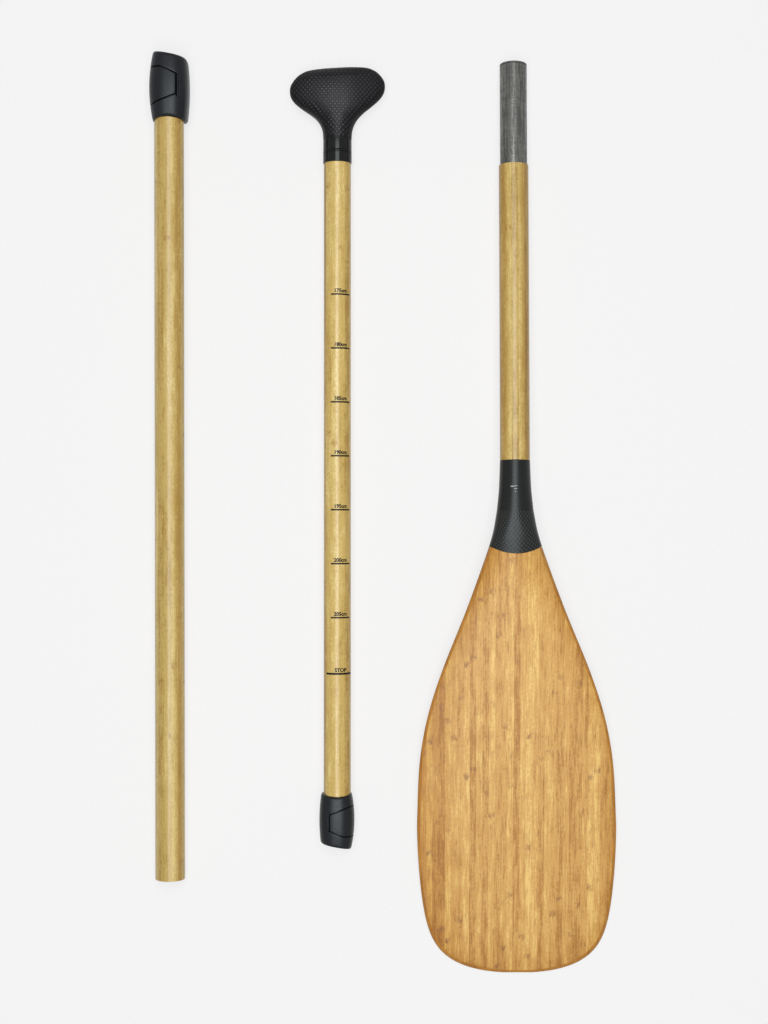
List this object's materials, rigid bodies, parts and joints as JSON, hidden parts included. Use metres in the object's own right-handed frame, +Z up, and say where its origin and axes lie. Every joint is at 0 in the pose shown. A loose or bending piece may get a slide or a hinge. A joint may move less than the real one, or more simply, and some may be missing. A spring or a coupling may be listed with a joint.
{
  "type": "stand-up paddleboard paddle",
  "caption": "Take-apart stand-up paddleboard paddle laid out in sections: tube with lever clamp, T-grip tube with length marks and clamp, and raked bamboo-faced blade.",
  "frame": {"origin": "middle of the rectangle that the three laid-out sections cover, at the height of the surface they lie on", "axes": "+Y along the tubes towards the grip, +X across the sections from the clamp section to the blade section, +Z up from the surface"},
  "size_m": [0.4356, 0.8606, 0.0502],
  "materials": {
    "shaft_bamboo": "pale bamboo strips under clear gloss lacquer",
    "blade_bamboo": "caramel bamboo veneer, lacquered",
    "edge_band": "darker lacquered rim",
    "core_wood": "light core, hidden",
    "fibre": "mottled grey fibre-reinforced tube",
    "woven_sleeve": "dark twill weave in clear resin",
    "gloss_black": "smooth glossy black",
    "grip_rubber": "cross-hatched black grip",
    "clamp_plastic": "moulded near-black, fine matte texture",
    "plug_plastic": "plain moulded",
    "steel": "stainless"
  },
  "bodies": {
    "mid_section": {"mid_shaft_strip_1": "shaft_bamboo", "mid_shaft_strip_2": "shaft_bamboo", "mid_shaft_strip_3": "shaft_bamboo", "mid_shaft_strip_4": "shaft_bamboo", "mid_shaft_strip_5": "shaft_bamboo", "mid_shaft_strip_6": "shaft_bamboo", "mid_shaft_strip_7": "shaft_bamboo", "mid_shaft_strip_8": "shaft_bamboo", "mid_shaft_liner": "fibre", "mid_clamp_body": "clamp_plastic", "mid_clamp_bush": "plug_plastic", "mid_clamp_pivot_pin": "steel", "mid_clamp_washer": "steel", "mid_clamp_bolt": "steel"},
    "mid_lever": {"mid_clamp_lever": "clamp_plastic"},
    "handle_section": {"handle_shaft_bamboo": "shaft_bamboo", "handle_shaft_liner": "fibre", "handle_grip": "grip_rubber", "handle_grip_plug": "plug_plastic", "handle_grip_collar": "gloss_black", "handle_end_plug": "plug_plastic"},
    "lower_clamp": {"lower_clamp_body": "clamp_plastic", "lower_clamp_bush": "plug_plastic", "lower_clamp_pivot_pin": "steel", "lower_clamp_washer": "steel", "lower_clamp_bolt": "steel"},
    "lower_lever": {"lower_clamp_lever": "clamp_plastic"},
    "blade_section": {"blade_shaft_core": "fibre", "blade_shaft_bamboo": "shaft_bamboo", "ferrule_cap": "plug_plastic", "neck_wrap": "gloss_black", "neck_sleeve": "woven_sleeve", "blade_core": "core_wood", "blade_front_veneer": "blade_bamboo", "blade_back_veneer": "blade_bamboo", "blade_edge_band": "edge_band"}
  },
  "joints": [
    {"name": "mid_lever_hinge", "type": "hinge", "parent": "mid_section", "child": "mid_lever", "pos_m": [-0.21224, 0.36833, 0.00619], "axis": [0, -0.9999, -0.0118], "range_deg": [0, 95]},
    {"name": "handle_length", "type": "slide", "parent": "mid_section", "child": "handle_section", "axis": [0, 1, 0], "range_m": [0, 0.3]},
    {"name": "lower_clamp_pull_off", "type": "slide", "parent": "handle_section", "child": "lower_clamp", "axis": [0, -1, 0.0066], "range_m": [0, 0.05]},
    {"name": "lower_lever_hinge", "type": "hinge", "parent": "lower_clamp", "child": "lower_lever", "pos_m": [-0.03219, -0.25914, 0.00529], "axis": [0, 1, -0.0066], "range_deg": [0, 95]},
    {"name": "blade_plug_in", "type": "slide", "parent": "mid_section", "child": "blade_section", "axis": [0, 1, 0], "range_m": [0, 0.096]}
  ]
}
